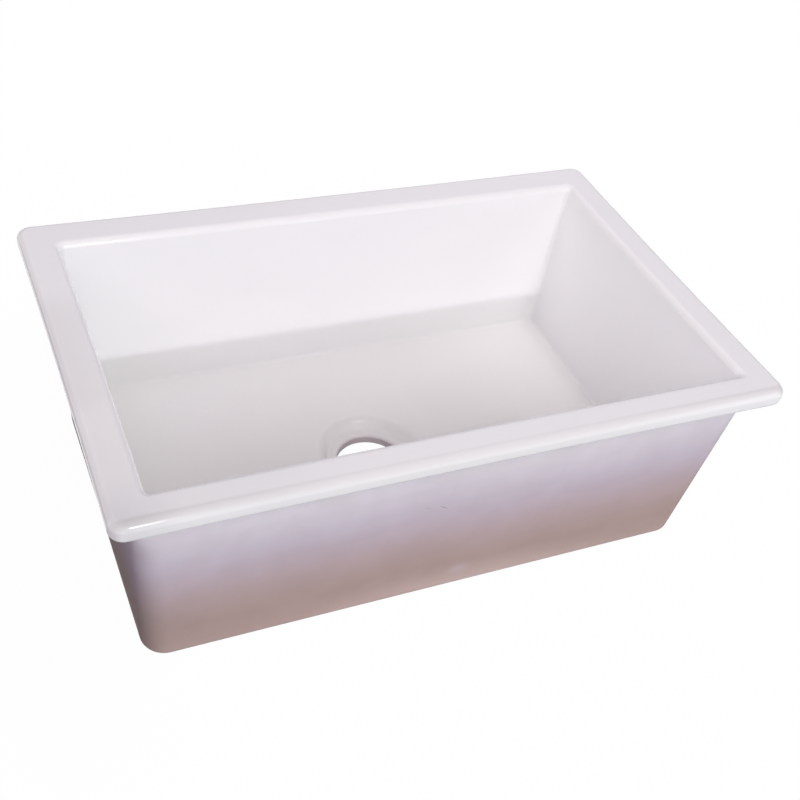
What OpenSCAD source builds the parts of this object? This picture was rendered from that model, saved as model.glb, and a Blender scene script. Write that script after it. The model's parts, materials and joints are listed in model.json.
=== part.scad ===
// Undermount fireclay kitchen sink: one large bowl under a flat rim, cast in one piece,
// glazed white inside and over the rim, bare below.
// Millimetres. +Z up, +X to the right, +Y to the back. The origin is at the middle of the
// rim's length and width, on the plane that the base stands on.

/* [Rim] */
// Length of the rim, left to right
rim_l = 791; // [600:1:900]
// Width of the rim, front to back
rim_w = 500; // [420:5:560]
// Height of the sink, from the base to the top of the rim
sink_h = 270; // [200:5:300]
// Thickness of the rim's flange
flange_t = 23; // [18:1:30]
// Width of the flat rim on the left and right, out to its edge
rim_side = 42.5; // [38:0.5:60]
// Width of the flat rim at the front
rim_front = 39; // [38:1:60]
// Width of the flat rim at the back
rim_back = 49; // [38:1:70]
// Plan radius of the rim's four corners
rim_corner_r = 16; // [12:1:40]
// Rounding of the rim's upper outer edge
rim_top_r = 10; // [5:0.5:10]
// Rounding of the rim's lower outer edge
rim_low_r = 6; // [3:0.5:8]

/* [Bowl] */
// Rounding of the mouth, where the rim turns down into the bowl
mouth_r = 9; // [5:0.5:14]
// Lean of the bowl's walls inside, in degrees
bowl_draft = 3.5; // [1:0.25:6]
// Plan radius of the bowl's upright corners
bowl_corner_r = 7; // [6:1:40]
// Fillet between the walls and the floor
floor_fillet_r = 5; // [4:1:11]
// Height of the floor at the foot of the walls
floor_z = 44; // [38:1:60]
// How far the middle of each short side is drawn in at the top, from drying and firing
side_bow = 2; // [0:0.5:6]
// How far the middle of each long side is drawn in at the top
long_bow = 2; // [0:0.5:6]

/* [Waste outlet] */
// Bore for the waste fitting
outlet_d = 90; // [85:0.5:95]
// Rounding of the bore's upper lip
lip_r = 4.5; // [2:0.5:5]
// Outer diameter of the flat seat for the waste's flange
seat_d = 108; // [106:1:114]
// Height of the seat over the base
seat_z = 19; // [16:0.5:22]
// Diameter of the dish at its upper edge
dish_d = 136; // [128:1:170]
// Height of the floor at the dish's edge
dish_z = 31; // [26:0.5:36]

/* [Outside] */
// Thickness of the bowl's wall just under the flange
wall_t = 18.5; // [16:0.5:22]
// Lean of the outer side walls, in degrees
side_draft = 4.5; // [2:0.1:5]
// Lean of the outer front and back walls, in degrees
front_draft = 3.9; // [2:0.1:5]
// Plan radius of the upright outer corners
body_corner_r = 28; // [24:1:50]
// Rounding of the base's outer edge
base_r = 8; // [6:1:20]
// Cove where the wall meets the underside of the flange
cove_r = 5; // [2:0.5:8]

/* [Underside] */
// Width of the foot that the sink stands on, in from the wall
foot_w = 34; // [28:1:60]
// Height of the hollow underside beside the foot
hollow_z = 18; // [12:0.5:20]
// Lean of the foot's inner face, in degrees
foot_draft = 25; // [10:1:40]
// Height of the flat pad round the outlet, where the waste's washer bears
pad_z = 6; // [3:0.5:8]
// Diameter of that pad
pad_d = 140; // [120:1:180]

/* [Glaze] */
// Thickness of the white coat
glaze_t = 1; // [0.5:0.1:1.5]

/* [Smoothness] */
// Steps round each plan corner
corner_steps = 6; // [4:1:10]
// Points between the middle and the corner of a long side
long_cuts = 2; // [1:1:6]
// Points between the middle and the corner of a short side
short_cuts = 1; // [1:1:6]

/* [Hidden] */

glaze_colour = [0.93, 0.92, 0.94];
clay_colour = [0.67, 0.61, 0.60];

// Lines of the bowl's mouth, where the walls' lean meets the level of the rim
bowl_x = rim_l / 2 - rim_side;
bowl_front = -rim_w / 2 + rim_front;
bowl_back = rim_w / 2 - rim_back;
bowl_y = (bowl_front + bowl_back) / 2;

outlet_r = outlet_d / 2;
seat_r = seat_d / 2;
dish_r = dish_d / 2;
pad_r = pad_d / 2;
flange_z = sink_h - flange_t;

// The coat stops this far round the outlet's lip, in degrees from level
lip_sweep = 70;
// The bore is drilled out of a smaller rough hole, and past both its ends
drill_allowance = 1;
rough_bore_r = outlet_r - drill_allowance;
drill_over = 10;
bore_sides = 96;

// The plan radius that is left on a corner however far its ring is drawn in
least_corner_r = 1;

// Steps of the roundings and of the lofted stretches
edge_steps = 4;
top_steps = 6;
mouth_steps = 5;
fillet_steps = 5;
floor_steps = 4;
dish_steps = 8;
lip_steps = 3;
base_steps = 5;
cove_steps = 3;
hollow_steps = 3;

// Numbers between 0 and 1, ends included
function parts(n) = [for (i = [0 : n]) i / n];
function mix(a, b, t) = a + (b - a) * t;
function reversed(list) = [for (i = [len(list) - 1 : -1 : 0]) list[i]];

// How far a side that is drawn in by d at its middle is drawn in at share s of its half length
function bowed(d, s) = d * (1 - s * s);

// One quarter of a closed outline, anticlockwise from the middle of a side: the side's own
// points up to the corner, the corner's arc, and the next side's points short of its middle.
// p and q are the half length and half width, p_bow and q_bow are how far the sides there are
// drawn in, and n_q and n_p are the points between each middle and the corner.
function quarter(p, q, r, p_bow, q_bow, n_p, n_q) = concat(
    [for (i = [0 : n_q])
        let (s = i / (n_q + 1))
        [p - bowed(p_bow, s), (q - r) * s]],
    [for (t = parts(corner_steps)) [p - r + r * cos(90 * t), q - r + r * sin(90 * t)]],
    [for (i = [n_p : -1 : 1])
        let (s = i / (n_p + 1))
        [(p - r) * s, q - bowed(q_bow, s)]]
);

function turned(list, a) = [for (c = list) [c.x * cos(a) - c.y * sin(a), c.x * sin(a) + c.y * cos(a)]];
function raised(list, y, z) = [for (c = list) [c.x, c.y + y, z]];

// A level ring: a rounded rectangle from its half length, front and back lines and corner radius.
// The sides are drawn in by their bow at the top of the sink, and by less lower down.
function box_ring(x, front, back, r, z) =
    let (
        half_w = (back - front) / 2,
        bow_x = side_bow * z / sink_h,
        bow_y = long_bow * z / sink_h,
        even = quarter(x, half_w, r, bow_x, bow_y, long_cuts, short_cuts),
        odd = quarter(half_w, x, r, bow_y, bow_x, short_cuts, long_cuts)
    )
    raised(concat(even, turned(odd, 90), turned(even, 180), turned(odd, 270)), (front + back) / 2, z);

// A level circle round the outlet, with as many points as a rounded rectangle
ring_count = 4 * (corner_steps + 2 + long_cuts + short_cuts);
function round_ring(r, z) = raised([for (i = [0 : ring_count - 1])
    [r * cos(360 * i / ring_count), r * sin(360 * i / ring_count)]], bowl_y, z);

function blend_ring(a, b, t) = [for (i = [0 : ring_count - 1]) mix(a[i], b[i], t)];

// Rings of the finished surface, or of the clay under it at depth d. Each place is shifted along
// its own normal into the clay, which is out by d * h and up by d * v.
function rim_ring(inset, z, h, v, d) =
    let (e = d * h - inset)
    box_ring(rim_l / 2 + e, -rim_w / 2 - e, rim_w / 2 + e, rim_corner_r + e, z + d * v);
function bowl_ring(out, r, z, h, v, d) =
    let (e = out + d * h)
    box_ring(bowl_x + e, bowl_front - e, bowl_back + e, r + d * h, z + d * v);

function rim_lower_edge(d) = [for (t = parts(edge_steps))
    let (a = 90 - 90 * t)
    rim_ring(rim_low_r * (1 - cos(a)), flange_z + rim_low_r * (1 - sin(a)), -cos(a), sin(a), d)];

function rim_upper_edge(d) = [for (t = parts(top_steps))
    let (a = 90 * t)
    rim_ring(rim_top_r * (1 - cos(a)), sink_h - rim_top_r * (1 - sin(a)), -cos(a), -sin(a), d)];

function wall_out(z) = -(sink_h - z) * tan(bowl_draft);

function mouth(d) = [for (t = parts(mouth_steps))
    let (
        a = (90 - bowl_draft) * t,
        centre = mouth_r * (1 / cos(bowl_draft) - tan(bowl_draft)),
        out = centre - mouth_r * sin(a)
    )
    bowl_ring(out, bowl_corner_r + max(out, 0), sink_h - mouth_r * (1 - cos(a)), sin(a), -cos(a), d)];

function floor_fillet(d) = [for (t = parts(fillet_steps))
    let (
        a = mix(bowl_draft, 90, t),
        centre_z = floor_z + floor_fillet_r,
        inset = floor_fillet_r * (1 / cos(bowl_draft) - cos(a)),
        z = centre_z - floor_fillet_r * sin(a)
    )
    bowl_ring(wall_out(centre_z) - inset, max(bowl_corner_r - inset, least_corner_r), z, cos(a), -sin(a), d)];

// The floor falls from the foot of the walls to the dish, while its outline turns into a circle
function falling_floor(d) =
    let (
        foot = floor_fillet(d)[fillet_steps],
        rim = round_ring(dish_r, dish_z - d)
    )
    [for (i = [1 : floor_steps - 1]) blend_ring(foot, rim, i / floor_steps)];

function dish(d) = [for (t = parts(dish_steps))
    let (
        r = mix(dish_r, seat_r, t),
        z = mix(dish_z, seat_z, (1 - cos(180 * t)) / 2),
        slope = atan((dish_z - seat_z) * PI / 2 * sin(180 * t) / (dish_r - seat_r))
    )
    round_ring(r + d * sin(slope), z - d * cos(slope))];

function outlet_lip(d) = [for (t = parts(lip_steps))
    let (a = lip_sweep * t)
    round_ring(outlet_r + lip_r - (lip_r - d) * sin(a), seat_z - lip_r + (lip_r - d) * cos(a))];

// The whole glazed surface, from the rim's lower edge over the rim and down to the outlet
function glazed_rings(d) = concat(
    rim_lower_edge(d),
    rim_upper_edge(d),
    mouth(d),
    floor_fillet(d),
    falling_floor(d),
    dish(d),
    outlet_lip(d)
);

// A ring round the outside of the bowl at height z, drawn in by inset
outer_x = bowl_x + wall_t;
outer_front = bowl_front - wall_t;
outer_back = bowl_back + wall_t;
function outer_ring(z, inset) =
    let (
        lean_x = (flange_z - z) * tan(side_draft) + inset,
        lean_y = (flange_z - z) * tan(front_draft) + inset,
        r = max(body_corner_r - inset, least_corner_r)
    )
    box_ring(outer_x - lean_x, outer_front + lean_y, outer_back - lean_y, r, z);

function outer_base() = [for (t = parts(base_steps))
    outer_ring(base_r * (1 - cos(90 * t)), base_r * (1 - sin(90 * t)))];

function outer_cove() = [for (t = parts(cove_steps))
    outer_ring(flange_z - cove_r * (1 - sin(90 * t)), -cove_r * (1 - cos(90 * t)))];

// The hollow under the floor, from the outlet's flat pad out to the foot
function underside() =
    let (
        pad = round_ring(pad_r, pad_z),
        edge = outer_ring(hollow_z, foot_w + hollow_z * tan(foot_draft))
    )
    concat(
        [round_ring(rough_bore_r, pad_z), pad],
        [for (i = [1 : hollow_steps]) blend_ring(pad, edge, i / hollow_steps)],
        [outer_ring(0, foot_w)]
    );

// A solid ring lofted through closed rings, the last one joined back to the first. Each face is
// split along its shorter diagonal, so two lofts that share rings in either order fit exactly.
module closed_loft(rings) {
    n = ring_count;
    m = len(rings);
    points = [for (ring = rings) each ring];
    faces = [for (j = [0 : m - 1], i = [0 : n - 1])
        let (
            a = j * n + i,
            b = j * n + (i + 1) % n,
            c = ((j + 1) % m) * n + (i + 1) % n,
            e = ((j + 1) % m) * n + i,
            short_ac = norm(points[a] - points[c]) < norm(points[b] - points[e])
        )
        each short_ac ? [[a, b, c], [a, c, e]] : [[a, b, e], [b, c, e]]];
    polyhedron(points, faces, convexity = 8);
}

module fireclay_body() {
    lip_end = outlet_lip(0)[lip_steps];
    clay = glazed_rings(glaze_t);
    color(clay_colour)
        difference() {
            closed_loft(concat(
                clay,
                [lip_end, round_ring(rough_bore_r, lip_end[0].z - lip_r)],
                underside(),
                outer_base(),
                outer_cove(),
                [rim_lower_edge(0)[0]]
            ));
            translate([0, bowl_y, -drill_over])
                cylinder(r = outlet_r, h = seat_z + drill_over, $fn = bore_sides);
        }
}

module white_glaze() {
    color(glaze_colour)
        closed_loft(concat(glazed_rings(0), reversed(glazed_rings(glaze_t))));
}

fireclay_body();
white_glaze();
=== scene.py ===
# Undermount fireclay sink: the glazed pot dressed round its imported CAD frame.
import json
import math

import bmesh
import bpy
from mathutils import Euler, Matrix, Vector


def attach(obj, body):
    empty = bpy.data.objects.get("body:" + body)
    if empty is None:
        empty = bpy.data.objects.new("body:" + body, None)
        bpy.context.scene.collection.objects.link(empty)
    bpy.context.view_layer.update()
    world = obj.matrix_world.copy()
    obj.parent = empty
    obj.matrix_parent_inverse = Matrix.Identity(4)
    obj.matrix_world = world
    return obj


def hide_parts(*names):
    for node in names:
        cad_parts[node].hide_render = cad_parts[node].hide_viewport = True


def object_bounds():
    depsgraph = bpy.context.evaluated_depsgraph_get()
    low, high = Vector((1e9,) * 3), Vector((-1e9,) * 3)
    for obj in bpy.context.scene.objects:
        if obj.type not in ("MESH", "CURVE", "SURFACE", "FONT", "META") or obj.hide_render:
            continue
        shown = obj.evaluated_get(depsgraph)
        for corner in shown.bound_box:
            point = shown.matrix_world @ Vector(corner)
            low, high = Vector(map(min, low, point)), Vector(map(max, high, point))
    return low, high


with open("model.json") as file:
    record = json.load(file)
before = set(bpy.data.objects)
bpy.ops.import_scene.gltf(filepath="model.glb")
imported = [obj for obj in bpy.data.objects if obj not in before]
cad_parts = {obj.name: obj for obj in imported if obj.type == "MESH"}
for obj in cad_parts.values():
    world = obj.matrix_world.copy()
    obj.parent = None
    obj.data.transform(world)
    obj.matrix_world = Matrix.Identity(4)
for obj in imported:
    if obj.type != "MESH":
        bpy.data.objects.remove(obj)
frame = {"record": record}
cadLow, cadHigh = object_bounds()
mounts = {mount["name"]: mount for mount in frame["record"]["mounts"]}
halfLength = (cadHigh.x - cadLow.x) / 2
halfWidth = (cadHigh.y - cadLow.y) / 2
topHeight = cadHigh.z
flangeHeight = mounts["clip_face"]["pos_m"][2]
seatHeight = mounts["waste_seat"]["pos_m"][2]
padHeight = mounts["waste_washer_face"]["pos_m"][2]
boreRadius = mounts["waste_outlet"]["dims"]["r_mm"] / 1000
boreY = mounts["waste_outlet"]["pos_m"][1]
print("frame loaded, box", [round(side, 4) for side in cadHigh - cadLow])

# The camera stands at the sink's left front and looks down into the bowl
camera = {
    "place": (-0.5379, -0.9425, 1.0824),
    "heading": 29.16,  # degrees to the right of straight back
    "dip": 41.354,  # degrees under the horizon
    "tilt": 10.093,
    "lens": 51.67,
    "film": 36,  # millimetres across
    "picture": 800,  # pixels each way
    "middle": (372.446, 394.709),  # the pixel that the lens points at
}


def addCamera():
    data = bpy.data.cameras.new("viewCamera")
    eye = bpy.data.objects.new("viewCamera", data)
    bpy.context.scene.collection.objects.link(eye)
    data.lens = camera["lens"]
    data.sensor_width = camera["film"]
    half = camera["picture"] / 2
    data.shift_x = (half - camera["middle"][0]) / camera["picture"]
    data.shift_y = (camera["middle"][1] - half) / camera["picture"]
    turn = Matrix.Rotation(-math.radians(camera["heading"]), 4, "Z")
    turn @= Matrix.Rotation(math.radians(90 - camera["dip"]), 4, "X")
    turn @= Matrix.Rotation(math.radians(camera["tilt"]), 4, "Z")
    eye.matrix_world = Matrix.Translation(camera["place"]) @ turn
    bpy.context.scene.camera = eye


addCamera()
print("camera set")


# Node helpers for the materials
def freshMaterial(name):
    material = bpy.data.materials.new(name)
    material.use_nodes = True
    material.node_tree.nodes.clear()
    return material


def addNode(material, kind, **values):
    node = material.node_tree.nodes.new("ShaderNode" + kind)
    for name, value in values.items():
        if name in node.inputs:
            node.inputs[name].default_value = value
        else:
            setattr(node, name, value)
    return node


def join(material, source, target):
    material.node_tree.links.new(source, target)


def noiseAt(material, place, scale, detail, stretch=(1, 1, 1)):
    # a noise pattern in metres of the object, stretched along its axes
    mapping = addNode(material, "Mapping")
    mapping.inputs["Scale"].default_value = stretch
    join(material, place, mapping.inputs["Vector"])
    noise = addNode(material, "TexNoise", Scale=scale, Detail=detail)
    join(material, mapping.outputs["Vector"], noise.inputs["Vector"])
    return noise.outputs["Fac"]


def ramp(material, source, stops, interpolation="EASE"):
    node = addNode(material, "ValToRGB")
    band = node.color_ramp
    band.interpolation = interpolation
    while len(band.elements) < len(stops):
        band.elements.new(0.5)  # every stop gets its place below
    for element, (place, colour) in zip(band.elements, stops):
        element.position = place
        element.color = (*colour, 1)
    join(material, source, node.inputs["Fac"])
    return node.outputs["Color"]


def spread(material, source, low, high):
    # carries 0..1 to low..high
    node = addNode(material, "MapRange")
    node.inputs["To Min"].default_value = low
    node.inputs["To Max"].default_value = high
    join(material, source, node.inputs["Value"])
    return node.outputs["Result"]


def mixColours(material, share, one, two, blend="MIX"):
    # a Mix node takes its colours at sockets 6 and 7 and gives one at 2
    node = addNode(material, "Mix", data_type="RGBA", blend_type=blend)
    for value, index in ((share, 0), (one, 6), (two, 7)):
        if isinstance(value, bpy.types.NodeSocket):
            join(material, value, node.inputs[index])
        elif index == 0:
            node.inputs[index].default_value = value
        else:
            node.inputs[index].default_value = (*value, 1)
    return node.outputs[2]


def reckon(material, operation, one, two):
    node = addNode(material, "Math", operation=operation)
    for value, index in ((one, 0), (two, 1)):
        if isinstance(value, bpy.types.NodeSocket):
            join(material, value, node.inputs[index])
        else:
            node.inputs[index].default_value = value
    return node.outputs["Value"]


def boreShare(material, place, reach):
    # 0 within the first distance from the bore's axis, rising to 1 at the second
    centred = addNode(material, "Mapping")
    centred.inputs["Location"].default_value = (0, -boreY, 0)
    centred.inputs["Scale"].default_value = (1, 1, 0)
    join(material, place, centred.inputs["Vector"])
    away = addNode(material, "VectorMath", operation="LENGTH")
    join(material, centred.outputs["Vector"], away.inputs[0])
    share = addNode(material, "MapRange", interpolation_type="SMOOTHSTEP")
    share.inputs["From Min"].default_value = reach[0]
    share.inputs["From Max"].default_value = reach[1]
    join(material, away.outputs["Value"], share.inputs["Value"])
    return share.outputs["Result"]


def paintedEdgeShadeShare(material, place, reach):
    # 0 over the rim's flat, rising evenly to 1 at the flange's front edge, for the painted shade on
    # the front rounding
    parts = addNode(material, "SeparateXYZ")
    join(material, place, parts.inputs["Vector"])
    share = addNode(material, "MapRange")
    share.inputs["From Min"].default_value = cadLow.y + reach[0]
    share.inputs["From Max"].default_value = cadLow.y + reach[1]
    join(material, parts.outputs["Y"], share.inputs["Value"])
    return share.outputs["Result"]


def markShare(material, place, middle, turn, reach, edge):
    # 1 inside an ellipsoid, falling to 0 at its rim
    inside = addNode(material, "Mapping", vector_type="TEXTURE")
    inside.inputs["Location"].default_value = middle
    inside.inputs["Rotation"].default_value = (0, math.radians(turn), 0)
    inside.inputs["Scale"].default_value = reach
    join(material, place, inside.inputs["Vector"])
    away = addNode(material, "VectorMath", operation="LENGTH")
    join(material, inside.outputs["Vector"], away.inputs[0])
    share = addNode(material, "MapRange", interpolation_type="SMOOTHSTEP")
    share.inputs["From Min"].default_value = 1
    share.inputs["From Max"].default_value = 1 - edge
    join(material, away.outputs["Value"], share.inputs["Value"])
    return share.outputs["Result"]


# The glaze: white gloss, lying in slow waves over the clay
glaze = {
    "colour": (0.90, 0.90, 0.90),
    "patchScale": 7, "patchStops": (0.3, 0.7), "patchShade": 0.994,  # faint darker patches
    "thinColour": (0.82, 0.78, 0.80),  # round the bore's lip
    "thinReach": (0.0450, 0.0485),  # by distance from the bore's axis
    "paintedEdgeShadeReach": (0.013, 0.001),  # where painted shade darkens the front rounding, in from its edge
    "paintedEdgeShades": [
        (0, (1, 1, 1)),
        (0.25, (0.89, 0.885, 0.885)),
        (0.5, (0.86, 0.855, 0.855)),
        (0.75, (0.865, 0.857, 0.855)),
        (1, (1, 1, 1)),
    ],
    "refraction": 1.5,
    "roughness": (0.08, 0.13), "roughnessScale": 18,
    "waveScale": 9, "waveDepth": 0.0012, "waveStrength": 0.6,
    "orangePeelScale": 160, "orangePeelDepth": 0.00004, "orangePeelStrength": 0.5,
}


def glazeMaterial():
    made = freshMaterial("white_glaze_finish")
    place = addNode(made, "TexCoord").outputs["Object"]
    shader = addNode(made, "BsdfPrincipled", IOR=glaze["refraction"])
    patches = noiseAt(made, place, glaze["patchScale"], 3)
    patchColour = [part * glaze["patchShade"] for part in glaze["colour"]]
    tint = ramp(made, patches, list(zip(glaze["patchStops"], (patchColour, glaze["colour"]))))
    tint = mixColours(made, boreShare(made, place, glaze["thinReach"]), glaze["thinColour"], tint)
    # painted shade on the rim's front rounding, darkest part way round it
    paintedEdgeShade = ramp(made, paintedEdgeShadeShare(made, place, glaze["paintedEdgeShadeReach"]), glaze["paintedEdgeShades"], "LINEAR")
    tint = mixColours(made, 1.0, tint, paintedEdgeShade, "MULTIPLY")
    join(made, tint, shader.inputs["Base Color"])
    rough = spread(made, noiseAt(made, place, glaze["roughnessScale"], 2), *glaze["roughness"])
    join(made, rough, shader.inputs["Roughness"])
    wave = addNode(made, "Bump", Distance=glaze["waveDepth"], Strength=glaze["waveStrength"])
    join(made, noiseAt(made, place, glaze["waveScale"], 1), wave.inputs["Height"])
    peel = addNode(made, "Bump", Distance=glaze["orangePeelDepth"],
                   Strength=glaze["orangePeelStrength"])
    join(made, noiseAt(made, place, glaze["orangePeelScale"], 1), peel.inputs["Height"])
    join(made, wave.outputs["Normal"], peel.inputs["Normal"])
    join(made, peel.outputs["Normal"], shader.inputs["Normal"])
    out = addNode(made, "OutputMaterial")
    join(made, shader.outputs["BSDF"], out.inputs["Surface"])
    return made


# The bare clay: matt, misted with white under the rim, fading to mauve and taupe lower down. Its
# height bands also hold painted light: near white under the flange, lifted against the shade of its
# overhang, and lighter just above the base, a painted floor bounce
clay = {
    "bands": [  # share of the height from the base up to the flange, and its colour
        (0.0, (0.50, 0.35, 0.31)),
        (0.03, (0.56, 0.419, 0.386)),
        (0.1, (0.519, 0.39, 0.356)),
        (0.2, (0.489, 0.37, 0.339)),
        (0.3, (0.508, 0.39, 0.373)),
        (0.4, (0.544, 0.431, 0.438)),
        (0.5, (0.579, 0.48, 0.521)),
        (0.6, (0.62, 0.543, 0.61)),
        (0.7, (0.678, 0.623, 0.695)),
        (0.8, (0.782, 0.733, 0.791)),
        (0.9, (0.93, 0.88, 0.93)),
        (1.0, (0.97, 0.93, 0.96)),
    ],
    "cloudScale": 6, "cloudStretch": (1, 1, 0.6), "cloudReach": 0.06,  # how the bands' edges wander
    "bare": (0.74, 0.67, 0.685),  # in the bore
    "bareReach": (0.046, 0.048),  # by distance from the bore's axis
    "marks": {  # on the front wall: middle, degrees turned, half sizes, softness, strength, colour
        "basePatch": ((0.04, -0.21, 0.0), 0, (0.27, 0.08, 0.05), 0.9, 0.45, (0.74, 0.59, 0.56)),
        "palePatch": ((0.025, -0.21, 0.032), 0, (0.02, 0.08, 0.014), 0.9, 0.35, (0.66, 0.58, 0.66)),
        "scuff": ((-0.022, -0.216, 0.163), 32, (0.009, 0.05, 0.0011), 0.7, 0.6, (0.30, 0.25, 0.28)),
        "faintScuff": ((-0.042, -0.216, 0.168), 28, (0.006, 0.05, 0.001), 0.7, 0.4,
                       (0.36, 0.30, 0.33)),
    },
    "refraction": 1.45, "roughness": (0.62, 0.78), "sheen": 0.25,
    "grainScale": 900, "grainDepth": 0.00012, "grainStrength": 0.6,
    "mottleScale": 26, "mottleDepth": 0.0006, "mottleStrength": 0.5,
    "mottleTints": [(0.3, (0.95, 0.945, 0.94)), (0.7, (1, 1, 1))],
}


def clayMaterial():
    made = freshMaterial("fireclay_finish")
    place = addNode(made, "TexCoord").outputs["Object"]
    parts = addNode(made, "SeparateXYZ")
    join(made, place, parts.inputs["Vector"])
    shader = addNode(made, "BsdfPrincipled", IOR=clay["refraction"])
    shader.inputs["Specular IOR Level"].default_value = clay["sheen"]
    height = addNode(made, "MapRange")
    height.inputs["From Max"].default_value = flangeHeight
    join(made, parts.outputs["Z"], height.inputs["Value"])
    cloud = noiseAt(made, place, clay["cloudScale"], 3, clay["cloudStretch"])
    wobble = spread(made, cloud, -clay["cloudReach"], clay["cloudReach"])
    # height up the wall, whose bands carry both the mist and painted light
    mistAndPaintedLight = reckon(made, "ADD", height.outputs["Result"], wobble)
    colour = ramp(made, mistAndPaintedLight, clay["bands"], "LINEAR")
    mottle = noiseAt(made, place, clay["mottleScale"], 4)
    colour = mixColours(made, 1.0, colour, ramp(made, mottle, clay["mottleTints"]), "MULTIPLY")
    for middle, turn, reach, edge, strength, markColour in clay["marks"].values():
        share = markShare(made, place, middle, turn, reach, edge)
        colour = mixColours(made, reckon(made, "MULTIPLY", share, strength), colour, markColour)
    colour = mixColours(made, boreShare(made, place, clay["bareReach"]), clay["bare"], colour)
    join(made, colour, shader.inputs["Base Color"])
    join(made, spread(made, mottle, *clay["roughness"]), shader.inputs["Roughness"])
    lumps = addNode(made, "Bump", Distance=clay["mottleDepth"], Strength=clay["mottleStrength"])
    join(made, mottle, lumps.inputs["Height"])
    grain = addNode(made, "Bump", Distance=clay["grainDepth"], Strength=clay["grainStrength"])
    join(made, noiseAt(made, place, clay["grainScale"], 3), grain.inputs["Height"])
    join(made, lumps.outputs["Normal"], grain.inputs["Normal"])
    join(made, grain.outputs["Normal"], shader.inputs["Normal"])
    out = addNode(made, "OutputMaterial")
    join(made, shader.outputs["BSDF"], out.inputs["Surface"])
    return made


# The casting is the whole pot, and it is parted afterwards into its clay and its glaze
casting = {
    "rimSide": 0.0425, "rimFront": 0.039, "rimBack": 0.049,
    "rimCorner": 0.016, "rimTopRound": 0.010, "rimLowRound": 0.006,
    "mouthRound": 0.009, "bowlLean": 3.5, "bowlCorner": 0.007,
    "floorRound": 0.005, "floorHeight": 0.044,
    "dishRadius": 0.0655, "dishHeight": 0.031, "dishRound": 0.0065,
    "seatRadius": 0.0565, "seatRound": 0.0045, "lipRound": 0.0045, "lipSweep": 70,
    "wall": 0.0185, "sideLean": 4.5, "frontLean": 3.9,
    "bodyCorner": 0.028, "baseRound": 0.008, "coveRound": 0.005,
    "footWidth": 0.034, "footRound": 0.004, "hollowHeight": 0.018, "hollowRound": 0.006,
    "footLean": 25, "footCorner": 0.004, "padRadius": 0.070, "padRound": 0.001,
    "sideBow": 0.002, "longBow": 0.002,  # how far drying drew the sides in
    "bowPoints": (7, 7, 2),  # of the lattice that draws them in
    "glazeDepth": 0.001,
    "sharpAngle": 40,  # an edge that turns more than this is shaded sharp
    "cornerSteps": 12, "longCuts": 15, "shortCuts": 7,
    "bridgeCuts": {"bowlWall": 6, "bowlFloor": 8, "underside": 4, "outerWall": 5},
    "roundSteps": {
        "rimLower": 5, "rimUpper": 9, "mouth": 8, "floor": 8, "dish": 5, "seat": 4,
        "bore": 6, "pad": 2, "hollow": 4, "footInner": 3, "base": 7, "wallTop": 5,
    },
}

# a round loop has as many edges as a box loop, so that the two can be bridged
sideCuts = casting["longCuts"] + casting["shortCuts"]
ringCount = 4 * casting["cornerSteps"] + 2 * (sideCuts + 2)
hair = 1e-6  # metres by which two places may differ and still be level


def tangent(degrees):
    return math.tan(math.radians(degrees))


def deselectAll():
    bpy.ops.object.select_all(action="DESELECT")


def makeActive(piece):
    deselectAll()
    piece.select_set(True)
    bpy.context.view_layer.objects.active = piece


def markLoop(ring, name):
    # every vertex of the loop goes into a vertex group of its name
    bpy.ops.mesh.select_mode(type="VERT")
    bpy.ops.mesh.select_all(action="SELECT")
    ring.name = name
    ring.vertex_groups.new(name=name)
    bpy.ops.object.vertex_group_assign()
    bpy.ops.object.mode_set(mode="OBJECT")
    bpy.ops.object.transform_apply(location=True, rotation=True, scale=True)
    return ring


def pickEdges(ring, choose):
    bpy.ops.mesh.select_mode(type="EDGE")
    bpy.ops.mesh.select_all(action="DESELECT")
    shape = bmesh.from_edit_mesh(ring.data)
    for edge in shape.edges:
        edge.select_set(choose(*(vertex.co for vertex in edge.verts)))
    bmesh.update_edit_mesh(ring.data)


def boxLoop(name, x, front, back, corner, z):
    # a plane whose corners are rounded and whose sides are cut, left as a loop of edges
    deselectAll()
    bpy.ops.mesh.primitive_plane_add(size=1)
    ring = bpy.context.object
    bpy.ops.object.mode_set(mode="EDIT")
    bpy.ops.transform.resize(value=(2 * x, back - front, 1), center_override=(0, 0, 0))
    bpy.ops.transform.translate(value=(0, (front + back) / 2, z))
    steps = casting["cornerSteps"]
    bpy.ops.mesh.bevel(affect="VERTICES", offset=corner, segments=steps, clamp_overlap=False)
    bpy.ops.mesh.select_all(action="SELECT")
    bpy.ops.mesh.delete(type="ONLY_FACE")
    pickEdges(ring, lambda one, two: abs(one.y - two.y) < hair and abs(one.x - two.x) > x)
    bpy.ops.mesh.subdivide(number_cuts=casting["longCuts"])
    depth = back - front
    pickEdges(ring, lambda one, two: abs(one.x - two.x) < hair and abs(one.y - two.y) > depth / 2)
    bpy.ops.mesh.subdivide(number_cuts=casting["shortCuts"])
    return markLoop(ring, name)


def roundLoop(name, radius, z):
    deselectAll()
    bpy.ops.mesh.primitive_circle_add(
        vertices=ringCount, radius=radius, fill_type="NOTHING", location=(0, boreY, z))
    ring = bpy.context.object
    bpy.ops.object.mode_set(mode="EDIT")
    return markLoop(ring, name)


def pickLoops(pot, *names):
    # selects the vertices that belong wholly to these loops, and the edges between them
    wholly = 0.999
    bpy.ops.mesh.select_mode(type="VERT")
    bpy.ops.mesh.select_all(action="DESELECT")
    shape = bmesh.from_edit_mesh(pot.data)
    weights = shape.verts.layers.deform.verify()
    wanted = [pot.vertex_groups[name].index for name in names]
    for vertex in shape.verts:
        vertex.select_set(any(vertex[weights].get(index, 0) > wholly for index in wanted))
    shape.select_flush(True)
    bmesh.update_edit_mesh(pot.data)
    bpy.ops.mesh.select_mode(type="EDGE")


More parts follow.
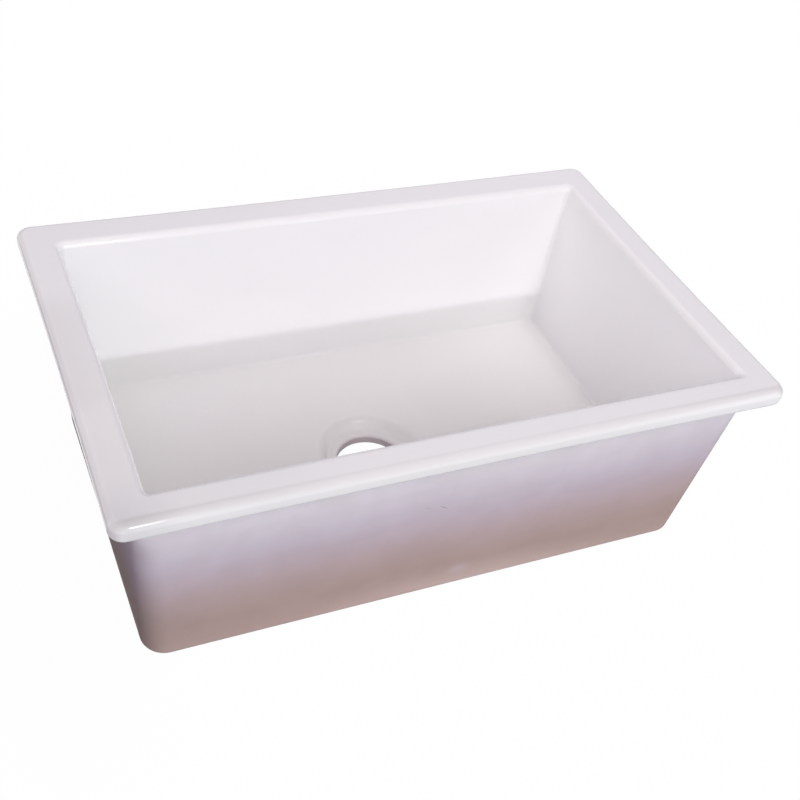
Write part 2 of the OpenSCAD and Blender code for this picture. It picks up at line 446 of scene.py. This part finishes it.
def bridge(pot, one, two, slot, cuts=0):
    pickLoops(pot, one, two)
    bpy.ops.mesh.bridge_edge_loops(number_cuts=cuts, interpolation="LINEAR", use_merge=False)
    pot.active_material_index = slot
    bpy.ops.object.material_slot_assign()


def bridgeLevel(pot, one, two, slot):
    # the first loop is held above the other, or loops at one height may be joined crosswise
    lift = 0.1
    pickLoops(pot, one)
    bpy.ops.transform.translate(value=(0, 0, lift))
    bridge(pot, one, two, slot)
    pickLoops(pot, one)
    bpy.ops.transform.translate(value=(0, 0, -lift))


def roundOver(pot, loop, offset, slot):
    pickLoops(pot, loop)
    steps = casting["roundSteps"][loop]
    bpy.ops.mesh.bevel(
        affect="EDGES", offset=offset, segments=steps, profile=0.5,
        clamp_overlap=False, material=slot)


glazedSlot, claySlot = 0, 1


def makeCasting():
    c = casting
    wallIn = (topHeight - c["floorHeight"]) * tangent(c["bowlLean"])
    bowlX = halfLength - c["rimSide"]
    bowlFront, bowlBack = c["rimFront"] - halfWidth, halfWidth - c["rimBack"]
    outerX = bowlX + c["wall"]
    outerFront, outerBack = bowlFront - c["wall"], bowlBack + c["wall"]
    baseX = flangeHeight * tangent(c["sideLean"])
    baseY = flangeHeight * tangent(c["frontLean"])

    def outerLoop(name, z, inset, corner):
        share = (flangeHeight - z) / flangeHeight
        x, y = baseX * share + inset, baseY * share + inset
        return boxLoop(name, outerX - x, outerFront + y, outerBack - y, corner, z)

    hollowIn = c["footWidth"] + c["hollowHeight"] * tangent(c["footLean"])
    loops = [
        boxLoop("rimLower", halfLength, -halfWidth, halfWidth, c["rimCorner"], flangeHeight),
        boxLoop("rimUpper", halfLength, -halfWidth, halfWidth, c["rimCorner"], topHeight),
        boxLoop("mouth", bowlX, bowlFront, bowlBack, c["bowlCorner"], topHeight),
        boxLoop("floor", bowlX - wallIn, bowlFront + wallIn, bowlBack - wallIn,
                c["bowlCorner"], c["floorHeight"]),
        roundLoop("dish", c["dishRadius"], c["dishHeight"]),
        roundLoop("seat", c["seatRadius"], seatHeight),
        roundLoop("bore", boreRadius, seatHeight),
        roundLoop("boreEnd", boreRadius, padHeight),
        roundLoop("pad", c["padRadius"], padHeight),
        outerLoop("hollow", c["hollowHeight"], hollowIn, c["footCorner"]),
        outerLoop("footInner", 0, c["footWidth"], c["footCorner"]),
        outerLoop("base", 0, 0, c["bodyCorner"]),
        outerLoop("wallTop", flangeHeight, 0, c["bodyCorner"]),
    ]
    deselectAll()
    for ring in loops:
        ring.select_set(True)
    pot = loops[0]
    bpy.context.view_layer.objects.active = pot
    bpy.ops.object.join()
    pot.name = pot.data.name = "casting"
    pot.data.materials.append(glazeMaterial())
    pot.data.materials.append(clayMaterial())

    bpy.ops.object.mode_set(mode="EDIT")
    bridge(pot, "rimLower", "rimUpper", glazedSlot)
    bridgeLevel(pot, "rimUpper", "mouth", glazedSlot)
    bridge(pot, "mouth", "floor", glazedSlot, c["bridgeCuts"]["bowlWall"])
    bridge(pot, "floor", "dish", glazedSlot, c["bridgeCuts"]["bowlFloor"])
    bridge(pot, "dish", "seat", glazedSlot)
    bridgeLevel(pot, "seat", "bore", glazedSlot)
    bridge(pot, "bore", "boreEnd", claySlot)
    bridgeLevel(pot, "boreEnd", "pad", claySlot)
    bridge(pot, "pad", "hollow", claySlot, c["bridgeCuts"]["underside"])
    bridge(pot, "hollow", "footInner", claySlot)
    bridgeLevel(pot, "footInner", "base", claySlot)
    bridge(pot, "base", "wallTop", claySlot, c["bridgeCuts"]["outerWall"])
    bridgeLevel(pot, "wallTop", "rimLower", claySlot)
    print("casting bridged")

    roundOver(pot, "rimLower", c["rimLowRound"], glazedSlot)
    roundOver(pot, "rimUpper", c["rimTopRound"], glazedSlot)
    roundOver(pot, "mouth", c["mouthRound"] * tangent((90 - c["bowlLean"]) / 2), glazedSlot)
    roundOver(pot, "floor", c["floorRound"] * tangent((90 - c["bowlLean"]) / 2), glazedSlot)
    roundOver(pot, "dish", c["dishRound"], glazedSlot)
    roundOver(pot, "seat", c["seatRound"], glazedSlot)
    roundOver(pot, "bore", c["lipRound"], glazedSlot)
    roundOver(pot, "pad", c["padRound"], claySlot)
    roundOver(pot, "hollow", c["hollowRound"], claySlot)
    roundOver(pot, "footInner", c["footRound"] * tangent((90 - c["footLean"]) / 2), claySlot)
    roundOver(pot, "base", c["baseRound"] * tangent((90 - c["frontLean"]) / 2), claySlot)
    roundOver(pot, "wallTop", c["coveRound"], claySlot)
    bpy.ops.mesh.select_all(action="SELECT")
    bpy.ops.mesh.normals_make_consistent(inside=False)
    bareLip(pot)
    bpy.ops.object.mode_set(mode="OBJECT")
    pot.vertex_groups.clear()
    print("casting rounded,", len(pot.data.polygons), "faces")
    return pot


def bareLip(pot):
    # the glaze stops short of the end of the bore's rounded lip
    stop = seatHeight - casting["lipRound"] * (1 - math.cos(math.radians(casting["lipSweep"])))
    shape = bmesh.from_edit_mesh(pot.data)
    for face in shape.faces:
        middle = face.calc_center_median()
        inBore = math.hypot(middle.x, middle.y - boreY) < boreRadius + casting["lipRound"]
        if inBore and middle.z < stop:
            face.material_index = claySlot
    bmesh.update_edit_mesh(pot.data)


def bowSides(pot):
    # a lattice draws the sides in at the top, as drying and firing did
    deselectAll()
    bpy.ops.object.add(type="LATTICE", location=(0, 0, topHeight / 2))
    cage = bpy.context.object
    cage.scale = (2 * halfLength, 2 * halfWidth, topHeight)
    net = cage.data
    net.points_u, net.points_v, net.points_w = casting["bowPoints"]
    net.interpolation_type_u = net.interpolation_type_v = "KEY_CATMULL_ROM"
    net.interpolation_type_w = "KEY_LINEAR"
    for point in net.points:
        if point.co.z < 0:
            continue
        sideways, lengthways = 2 * point.co.x, 2 * point.co.y  # from -1 to 1
        drawX = casting["sideBow"] * (1 - lengthways**2) / (2 * halfLength)
        drawY = casting["longBow"] * (1 - sideways**2) / (2 * halfWidth)
        point.co_deform.x -= drawX * max(-1, min(1, 2 * sideways))
        point.co_deform.y -= drawY * max(-1, min(1, 2 * lengthways))
    makeActive(pot)
    modifier = pot.modifiers.new("firingBow", "LATTICE")
    modifier.object = cage
    bpy.ops.object.modifier_apply(modifier=modifier.name)
    bpy.data.objects.remove(cage)
    print("sides bowed")


def copyPiece(source, name):
    deselectAll()
    piece = source.copy()
    piece.data = source.data.copy()
    piece.name = piece.data.name = name
    bpy.context.scene.collection.objects.link(piece)
    makeActive(piece)
    return piece


def pickSlot(piece, slot):
    bpy.ops.mesh.select_mode(type="FACE")
    bpy.ops.mesh.select_all(action="DESELECT")
    piece.active_material_index = slot
    bpy.ops.object.material_slot_select()


def smooth(piece):
    makeActive(piece)
    bpy.ops.object.shade_smooth_by_angle(angle=math.radians(casting["sharpAngle"]))
    modifier = piece.modifiers.new("evenShading", "WEIGHTED_NORMAL")
    modifier.keep_sharp = True
    bpy.ops.object.modifier_apply(modifier=modifier.name)


def keepSlot(piece, slot):
    # every face of a parted piece has its one material
    wanted = piece.data.materials[slot]
    piece.data.materials.clear()
    piece.data.materials.append(wanted)
    for face in piece.data.polygons:
        face.material_index = 0


def makeGlazeCoat(pot):
    coat = copyPiece(pot, "glaze_coat")
    bpy.ops.object.mode_set(mode="EDIT")
    pickSlot(coat, claySlot)
    bpy.ops.mesh.delete(type="FACE")
    bpy.ops.object.mode_set(mode="OBJECT")
    modifier = coat.modifiers.new("coat", "SOLIDIFY")
    modifier.thickness = casting["glazeDepth"]
    modifier.offset = -1
    modifier.use_even_offset = True
    bpy.ops.object.modifier_apply(modifier=modifier.name)
    keepSlot(coat, glazedSlot)
    smooth(coat)
    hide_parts("white_glaze")
    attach(coat, "root")
    print("glaze coat made,", len(coat.data.polygons), "faces")


def makeClayCasting(pot):
    body = copyPiece(pot, "clay_casting")
    bpy.ops.object.mode_set(mode="EDIT")
    pickSlot(body, glazedSlot)
    inward = {"value": -casting["glazeDepth"], "use_even_offset": True}
    bpy.ops.mesh.extrude_region_shrink_fatten(TRANSFORM_OT_shrink_fatten=inward)
    bpy.ops.object.mode_set(mode="OBJECT")
    keepSlot(body, claySlot)
    smooth(body)
    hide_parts("fireclay_body")
    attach(body, "root")
    print("clay casting made,", len(body.data.polygons), "faces")


pot = makeCasting()
bowSides(pot)
makeGlazeCoat(pot)
makeClayCasting(pot)
bpy.data.objects.remove(pot)

# The studio: a floor that the camera sees as white, a strip light in front, softboxes round about,
# two lamps that only glint in the glaze and two cards that the camera doesn't see
studio = {
    "floorSize": 12, "floorColour": (0.15, 0.15, 0.15), "floorGlow": 0.98,
    "floorDrop": 0.0003,  # keeps it clear of the foot
    "world": (1.0, 0.97, 1.02), "worldStrength": 0.02,
    "cards": {  # corners as a plane numbers them, colour and glow
        "flag": (  # keeps the low left light off the side wall
            ((-0.46, -0.45, 0), (-0.46, 0.35, 0), (-0.46, -0.45, 0.24), (-0.46, 0.35, 0.24)),
            (0.96, 0.86, 1.0), 0.26),
        "cornerCard": (  # shades the near corner
            ((-0.51, -0.49, 0.446), (-0.356, -0.49, 0.446),
             (-0.51, -0.32, 0.446), (-0.356, -0.32, 0.446)),
            (1, 1, 1), 0.0),
    },
    "boxTarget": (0, 0, 0.15),
    "targets": {  # of the lamps that point elsewhere
        "keyStrip": (0, 0, 0.27),
        "cornerGlint": (0, 0, 0.27),
        "dishGlint": (0, 0.05, 0.025),
        "lowFront": (0.04, -0.23, 0.15),
    },
    "boxes": {  # degrees right of straight in front, degrees up, metres away, sides, watts, colour
        "keyStrip": (-1, 23.2, 9.5, (1.62, 0.216), 190, (0.97, 0.965, 1.045)),
        "cornerGlint": (8, 23.2, 9.5, (0.22, 1.5), 42, (1, 1, 1)),
        "dishGlint": (27, 50, 0.25, (0.07, 0.05), 0.07, (1, 0.98, 0.98)),  # low in the bowl
        "frontBox": (0, 36, 8, (3, 3), 127, (0.95, 1.02, 1.02)),
        "frontHigh": (0, 62, 8, (3, 3), 174, (1.07, 0.99, 0.945)),
        "frontRightLow": (35, 15, 8, (3, 3), 74, (0.98, 0.96, 1.05)),
        "frontRightHigh": (30, 54, 3, (1.2, 1.2), 4, (1.05, 0.94, 1.0)),
        "lowFront": (4, -2, 1.3, (0.6, 0.2), 1.9, (0.99, 0.98, 1.03)),
        "backRightNear": (150, 30, 2.5, (0.9, 0.9), 25, (0.988, 0.942, 1.07)),
        "leftLow": (270, 14, 8, (3, 3), 234, (1.018, 0.969, 1.01)),
        "frontLeftBox": (315, 36, 8, (3, 3), 62, (1.055, 0.96, 0.97)),
        "frontLeftHigh": (315, 62, 8, (3, 3), 41.5, (1.055, 0.85, 1.10)),
    },
}


def addFloor():
    deselectAll()
    place = (0, 0, -studio["floorDrop"])
    bpy.ops.mesh.primitive_plane_add(size=studio["floorSize"], location=place)
    floor = bpy.context.object
    floor.name = "studio_floor"
    made = freshMaterial("studio_floor_finish")
    shade = addNode(made, "BsdfDiffuse")
    shade.inputs["Color"].default_value = (*studio["floorColour"], 1)
    bright = addNode(made, "BsdfDiffuse")
    bright.inputs["Color"].default_value = (1, 1, 1, 1)
    glow = addNode(made, "Emission")
    lit = addNode(made, "MixShader", Fac=studio["floorGlow"])
    join(made, bright.outputs[0], lit.inputs[1])
    join(made, glow.outputs[0], lit.inputs[2])
    seen = addNode(made, "LightPath")
    straight = reckon(made, "MAXIMUM", seen.outputs["Is Camera Ray"], seen.outputs["Is Glossy Ray"])
    straight = reckon(made, "MAXIMUM", straight, seen.outputs["Is Transmission Ray"])
    mix = addNode(made, "MixShader")
    join(made, straight, mix.inputs[0])
    join(made, shade.outputs[0], mix.inputs[1])
    join(made, lit.outputs[0], mix.inputs[2])
    out = addNode(made, "OutputMaterial")
    join(made, mix.outputs[0], out.inputs["Surface"])
    floor.data.materials.append(made)


def addLamp(name, place, size, power, colour, target):
    data = bpy.data.lights.new(name, "AREA")
    data.shape = "RECTANGLE"
    data.size, data.size_y = size
    data.energy = power
    data.color = colour
    lamp = bpy.data.objects.new(name, data)
    bpy.context.scene.collection.objects.link(lamp)
    # a glint shows in the glaze and does nothing else, and the other lamps don't show in it
    glint = name.endswith("Glint")
    lamp.visible_glossy, lamp.visible_diffuse, lamp.visible_camera = glint, not glint, False
    lamp.location = place
    lamp.rotation_euler = (Vector(target) - Vector(place)).to_track_quat("-Z", "Y").to_euler()


def addWorld():
    world = bpy.data.worlds.new("studioRoom")
    world.use_nodes = True
    dim = world.node_tree.nodes["Background"]
    dim.inputs["Color"].default_value = (*studio["world"], 1)
    dim.inputs["Strength"].default_value = studio["worldStrength"]
    white = world.node_tree.nodes.new("ShaderNodeBackground")
    white.inputs["Color"].default_value = (1, 1, 1, 1)
    seen = world.node_tree.nodes.new("ShaderNodeLightPath")
    mix = world.node_tree.nodes.new("ShaderNodeMixShader")
    out = world.node_tree.nodes["World Output"]
    links = (
        (seen.outputs["Is Camera Ray"], mix.inputs[0]),
        (dim.outputs[0], mix.inputs[1]),
        (white.outputs[0], mix.inputs[2]),
        (mix.outputs[0], out.inputs["Surface"]),
    )
    for source, target in links:
        world.node_tree.links.new(source, target)
    bpy.context.scene.world = world


def addCards():
    # the camera doesn't see them
    for name, (corners, colour, glow) in studio["cards"].items():
        deselectAll()
        bpy.ops.mesh.primitive_plane_add(size=1)
        card = bpy.context.object
        card.name = "studio_" + name
        for vertex, place in zip(card.data.vertices, corners):
            vertex.co = place
        made = freshMaterial("studio_" + name + "_finish")
        shine = addNode(made, "Emission", Color=(*colour, 1), Strength=glow)
        out = addNode(made, "OutputMaterial")
        join(made, shine.outputs[0], out.inputs["Surface"])
        card.data.materials.append(made)
        card.visible_camera = False


def addLamps():
    for name, (turn, rise, away, size, power, colour) in studio["boxes"].items():
        target = Vector(studio["targets"].get(name, studio["boxTarget"]))
        offset = Vector((0, -away, 0))
        offset.rotate(Euler((-math.radians(rise), 0, math.radians(turn))))
        addLamp(name, target + offset, size, power, colour, target)


addFloor()
addCards()
addWorld()
addLamps()
bpy.context.scene.view_settings.view_transform = "Standard"
print("studio lit")
